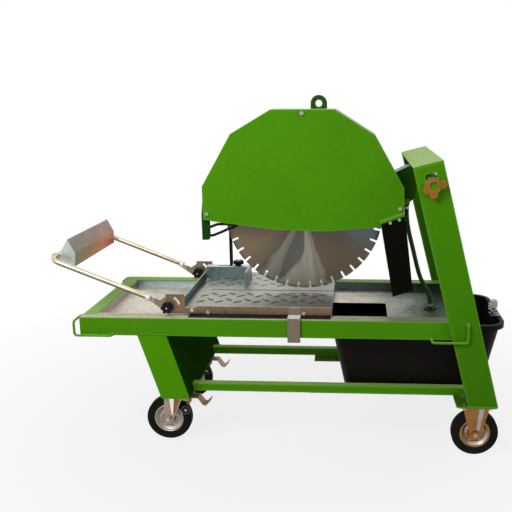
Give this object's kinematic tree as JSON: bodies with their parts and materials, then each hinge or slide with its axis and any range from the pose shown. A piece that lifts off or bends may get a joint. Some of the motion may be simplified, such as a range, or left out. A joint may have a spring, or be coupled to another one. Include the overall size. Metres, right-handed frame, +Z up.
{
  "type": "masonry table saw",
  "caption": "Wheeled table saw for bricks and stone: hooded diamond blade on a tilting head under a portal, rolling deck with folding handle, water tray and tub.",
  "frame": {"origin": "on the floor, in the middle of the saw's plan", "axes": "+X along the table from the handle to the portal, +Y away from the working side, +Z up"},
  "size_m": [1.944, 0.7824, 1.5099],
  "materials": {
    "green paint": "gloss powder coat",
    "dark green paint": "gloss powder coat",
    "galvanised steel": "hot-dip galvanised",
    "zinc casters": "yellowish zinc plate",
    "bolts": "zinc plated",
    "black plastic": "satin",
    "green hose": "satin",
    "motor grey": "painted die cast",
    "motor cowl": "satin",
    "switch grey": "satin",
    "inlet red": "moulded",
    "black rubber": "matt",
    "black hose": "satin",
    "blade steel": "ground in circles",
    "diamond segments": "sintered",
    "machined steel": "turned",
    "cast wing nut": "yellow zinc plate",
    "roller steel": "ground",
    "zinc tube": "yellowish zinc plate",
    "black knobs": "satin",
    "tub plastic": "satin",
    "pedal steel": "black",
    "wheel rim": "zinc plated",
    "tyre": "solid rubber",
    "start green": "moulded",
    "stop red": "moulded"
  },
  "bodies": {
    "frame": {"front_rail": "green paint", "rear_rail": "green paint", "end_rails": "green paint", "water_tray": "galvanised steel", "left_leg": "green paint", "portal_legs": "green paint", "portal_cap": "green paint", "lower_rails": "green paint", "lashing_loops": "green paint", "caster_plates": "zinc casters", "fixed_casters": "zinc casters", "frame_bolts": "bolts", "pivot_rod": "bolts", "water_pump": "black plastic", "water_hose": "green hose"},
    "head": {"head_arm": "dark green paint", "motor_housing": "motor grey", "fan_cowl": "motor cowl", "switch_box": "switch grey", "power_inlet": "inlet red", "guard_front": "green paint", "guard_shell": "green paint", "guard_bolts": "bolts", "splash_flaps": "black rubber", "water_bracket": "green paint", "water_pipes": "black hose"},
    "blade": {"blade_core": "blade steel", "blade_segments": "diamond segments", "blade_flanges": "machined steel", "arbor_nut": "machined steel", "motor_shaft": "machined steel"},
    "wing_nut": {"wing_nut": "cast wing nut"},
    "carriage": {"carriage_deck": "galvanised steel", "tip_clips": "galvanised steel", "carriage_bolts": "bolts"},
    "roller_front_left": {"roller_front_left": "roller steel"},
    "roller_front_right": {"roller_front_right": "roller steel"},
    "roller_rear_left": {"roller_rear_left": "roller steel"},
    "roller_rear_right": {"roller_rear_right": "roller steel"},
    "handle": {"handle_frame": "zinc tube", "hand_hood": "green paint"},
    "handle_knob_front": {"handle_knob_front": "black knobs"},
    "handle_knob_rear": {"handle_knob_rear": "black knobs"},
    "stop": {"angle_stop": "galvanised steel"},
    "stop_knob": {"stop_knob": "black knobs"},
    "tub": {"tub": "tub plastic"},
    "caster_front": {"swivel_fork_front": "zinc casters"},
    "caster_rear": {"swivel_fork_rear": "zinc casters"},
    "pedal_front": {"brake_pedal_front": "pedal steel"},
    "pedal_rear": {"brake_pedal_rear": "pedal steel"},
    "wheel_left_front": {"rim_left_front": "wheel rim", "tyre_left_front": "tyre"},
    "wheel_left_rear": {"rim_left_rear": "wheel rim", "tyre_left_rear": "tyre"},
    "wheel_right_front": {"rim_right_front": "wheel rim", "tyre_right_front": "tyre"},
    "wheel_right_rear": {"rim_right_rear": "wheel rim", "tyre_right_rear": "tyre"},
    "start_button": {"start_button": "start green"},
    "stop_button": {"stop_button": "stop red"}
  },
  "joints": [
    {"name": "head_tilt", "type": "hinge", "parent": "frame", "child": "head", "pos_m": [0.6226, 0.008, 1.17], "axis": [0, 1, 0], "range_deg": [-4, 20], "deforming": ["water_hose"]},
    {"name": "blade_spin", "type": "hinge", "parent": "head", "child": "blade", "pos_m": [0.093, -0.027, 1.007], "axis": [0, 1, 0], "continuous": true},
    {"name": "wing_nut_turn", "type": "hinge", "parent": "frame", "child": "wing_nut", "pos_m": [0.6226, 0.008, 1.17], "axis": [0, 1, 0], "continuous": true},
    {"name": "carriage_slide", "type": "slide", "parent": "frame", "child": "carriage", "axis": [-1, 0, 0], "range_m": [-0.3, 0.36]},
    {"name": "handle_fold", "type": "hinge", "parent": "carriage", "child": "handle", "pos_m": [-0.467, 0.008, 0.637], "axis": [0, 1, 0], "range_deg": [0, 50]},
    {"name": "handle_knob_front_turn", "type": "hinge", "parent": "carriage", "child": "handle_knob_front", "pos_m": [-0.467, 0.008, 0.637], "axis": [0, 1, 0], "continuous": true},
    {"name": "handle_knob_rear_turn", "type": "hinge", "parent": "carriage", "child": "handle_knob_rear", "pos_m": [-0.467, 0.008, 0.637], "axis": [0, 1, 0], "continuous": true},
    {"name": "stop_slide", "type": "slide", "parent": "carriage", "child": "stop", "axis": [1, 0, 0], "range_m": [0, 0.09]},
    {"name": "stop_knob_turn", "type": "hinge", "parent": "carriage", "child": "stop_knob", "pos_m": [-0.244, 0.193, 0.7], "axis": [0, 0, 1], "continuous": true},
    {"name": "tub_slide", "type": "slide", "parent": "frame", "child": "tub", "axis": [1, 0, 0], "range_m": [0, 0.3]},
    {"name": "start_press", "type": "slide", "parent": "head", "child": "start_button", "axis": [1, 0, 0], "range_m": [0, 0.003], "stiffness_N_per_m": 500},
    {"name": "stop_press", "type": "slide", "parent": "head", "child": "stop_button", "axis": [1, 0, 0], "range_m": [0, 0.003], "stiffness_N_per_m": 500},
    {"name": "roller_front_left_spin", "type": "hinge", "parent": "carriage", "child": "roller_front_left", "pos_m": [-0.297, -0.267, 0.6153], "axis": [0, 1, 0], "range_deg": [-1500, 1500]},
    {"name": "roller_front_right_spin", "type": "hinge", "parent": "carriage", "child": "roller_front_right", "pos_m": [0.109, -0.267, 0.6153], "axis": [0, 1, 0], "range_deg": [-1500, 1500]},
    {"name": "caster_front_swivel", "type": "hinge", "parent": "frame", "child": "caster_front", "pos_m": [-0.443, -0.213, 0.2], "axis": [0, 0, 1], "continuous": true},
    {"name": "wheel_left_front_spin", "type": "hinge", "parent": "caster_front", "child": "wheel_left_front", "pos_m": [-0.503, -0.213, 0.1], "axis": [0, 1, 0], "continuous": true},
    {"name": "pedal_front_press", "type": "hinge", "parent": "caster_front", "child": "pedal_front", "pos_m": [-0.403, -0.213, 0.197], "axis": [0, 1, 0], "range_deg": [0, 12]},
    {"name": "wheel_right_front_spin", "type": "hinge", "parent": "frame", "child": "wheel_right_front", "pos_m": [0.84202, -0.297, 0.1], "axis": [0, 1, 0], "continuous": true},
    {"name": "roller_rear_left_spin", "type": "hinge", "parent": "carriage", "child": "roller_rear_left", "pos_m": [-0.297, 0.283, 0.6153], "axis": [0, 1, 0], "range_deg": [-1500, 1500]},
    {"name": "roller_rear_right_spin", "type": "hinge", "parent": "carriage", "child": "roller_rear_right", "pos_m": [0.109, 0.283, 0.6153], "axis": [0, 1, 0], "range_deg": [-1500, 1500]},
    {"name": "caster_rear_swivel", "type": "hinge", "parent": "frame", "child": "caster_rear", "pos_m": [-0.443, 0.229, 0.2], "axis": [0, 0, 1], "continuous": true},
    {"name": "wheel_left_rear_spin", "type": "hinge", "parent": "caster_rear", "child": "wheel_left_rear", "pos_m": [-0.503, 0.229, 0.1], "axis": [0, 1, 0], "continuous": true},
    {"name": "pedal_rear_press", "type": "hinge", "parent": "caster_rear", "child": "pedal_rear", "pos_m": [-0.403, 0.229, 0.197], "axis": [0, 1, 0], "range_deg": [0, 12]},
    {"name": "wheel_right_rear_spin", "type": "hinge", "parent": "frame", "child": "wheel_right_rear", "pos_m": [0.84202, 0.313, 0.1], "axis": [0, 1, 0], "continuous": true}
  ],
  "couplings": [
    {"joint": "roller_front_left_spin", "follows": "carriage_slide", "rad_per_m": -66.667},
    {"joint": "roller_front_right_spin", "follows": "carriage_slide", "rad_per_m": -66.667},
    {"joint": "roller_rear_left_spin", "follows": "carriage_slide", "rad_per_m": -66.667},
    {"joint": "roller_rear_right_spin", "follows": "carriage_slide", "rad_per_m": -66.667}
  ]
}
